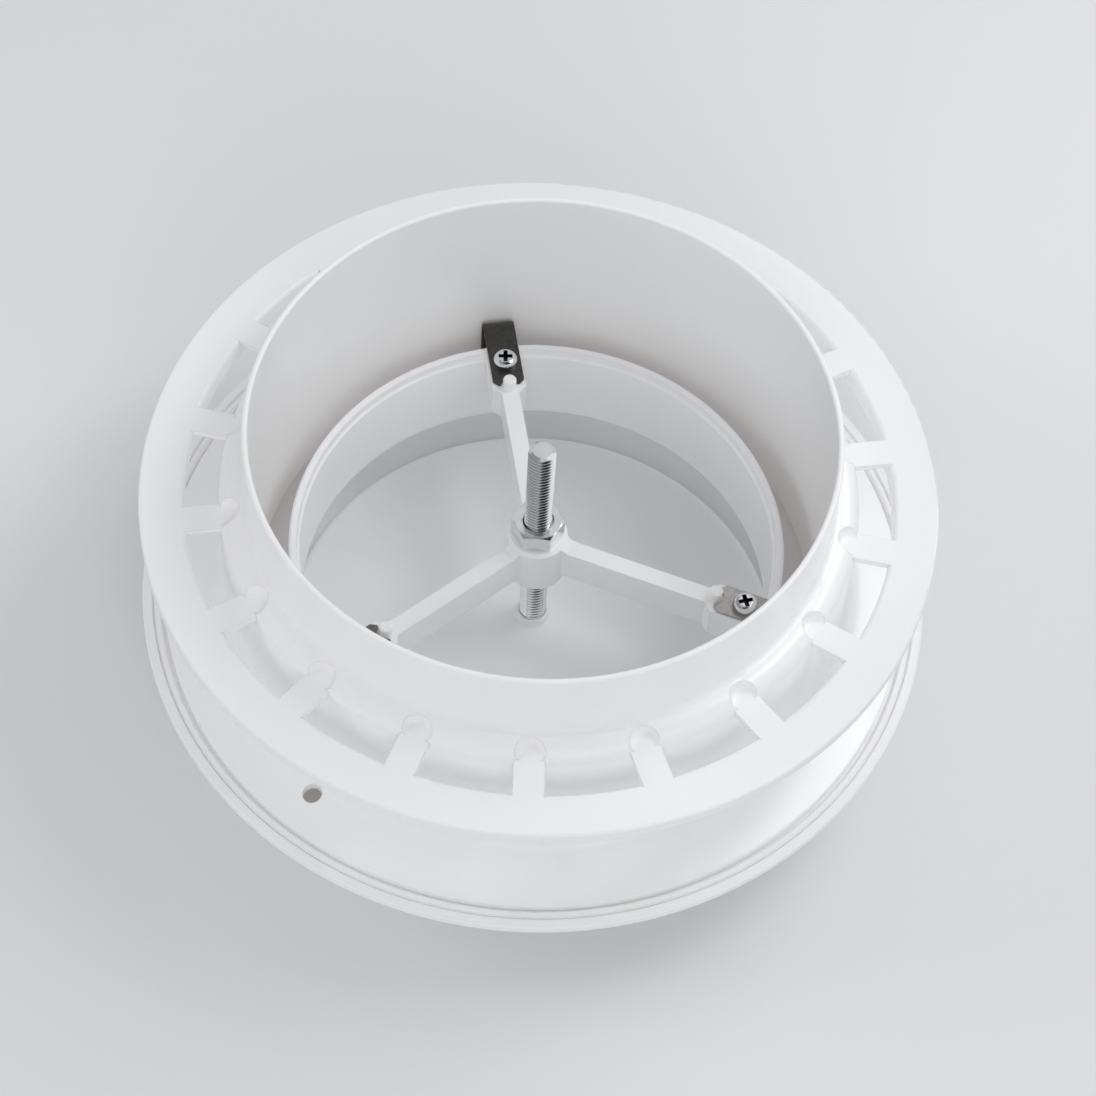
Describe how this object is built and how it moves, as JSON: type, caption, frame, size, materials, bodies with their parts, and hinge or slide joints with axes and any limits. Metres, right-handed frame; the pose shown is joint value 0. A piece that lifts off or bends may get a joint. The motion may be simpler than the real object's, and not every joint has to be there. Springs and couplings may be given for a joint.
{
  "type": "disc valve",
  "caption": "Round plastic disc valve for a duct: slotted mounting ring, clip-in valve body with spoked spider, and a disc on a threaded spindle that sets the air gap.",
  "frame": {"origin": "centre of the part's lower face, on the plane that the disc's rim stands on", "axes": "+Z along the spindle into the duct, -Y towards the picture's viewer, +X to the viewer's right"},
  "size_m": [0.1712, 0.1712, 0.0807],
  "materials": {
    "white_moulding": "glossy white moulding",
    "spring_steel": "bare spring steel strip",
    "zinc_plated_steel": "bright zinc plate"
  },
  "bodies": {
    "mounting_ring": {"mounting_ring": "white_moulding"},
    "valve_insert": {"valve_body": "white_moulding", "spring_clip_1": "spring_steel", "spring_clip_2": "spring_steel", "spring_clip_3": "spring_steel", "clip_screw_1": "zinc_plated_steel", "clip_screw_2": "zinc_plated_steel", "clip_screw_3": "zinc_plated_steel"},
    "disc_and_spindle": {"threaded_spindle": "zinc_plated_steel", "valve_disc": "white_moulding"},
    "lock_nut": {"lock_nut": "zinc_plated_steel"}
  },
  "joints": [
    {"name": "insert_pull", "type": "slide", "parent": "mounting_ring", "child": "valve_insert", "axis": [0, 0, -1], "range_m": [0, 0.018]},
    {"name": "disc_travel", "type": "slide", "parent": "valve_insert", "child": "disc_and_spindle", "axis": [0, 0, 1], "range_m": [-0.02, 0.0115]},
    {"name": "nut_turn", "type": "hinge", "parent": "valve_insert", "child": "lock_nut", "pos_m": [0, 0, 0.04495], "axis": [0, 0, 1], "range_deg": [-4140, 7200]}
  ],
  "couplings": [
    {"joint": "nut_turn", "follows": "disc_travel", "rad_per_m": -6283.2}
  ]
}
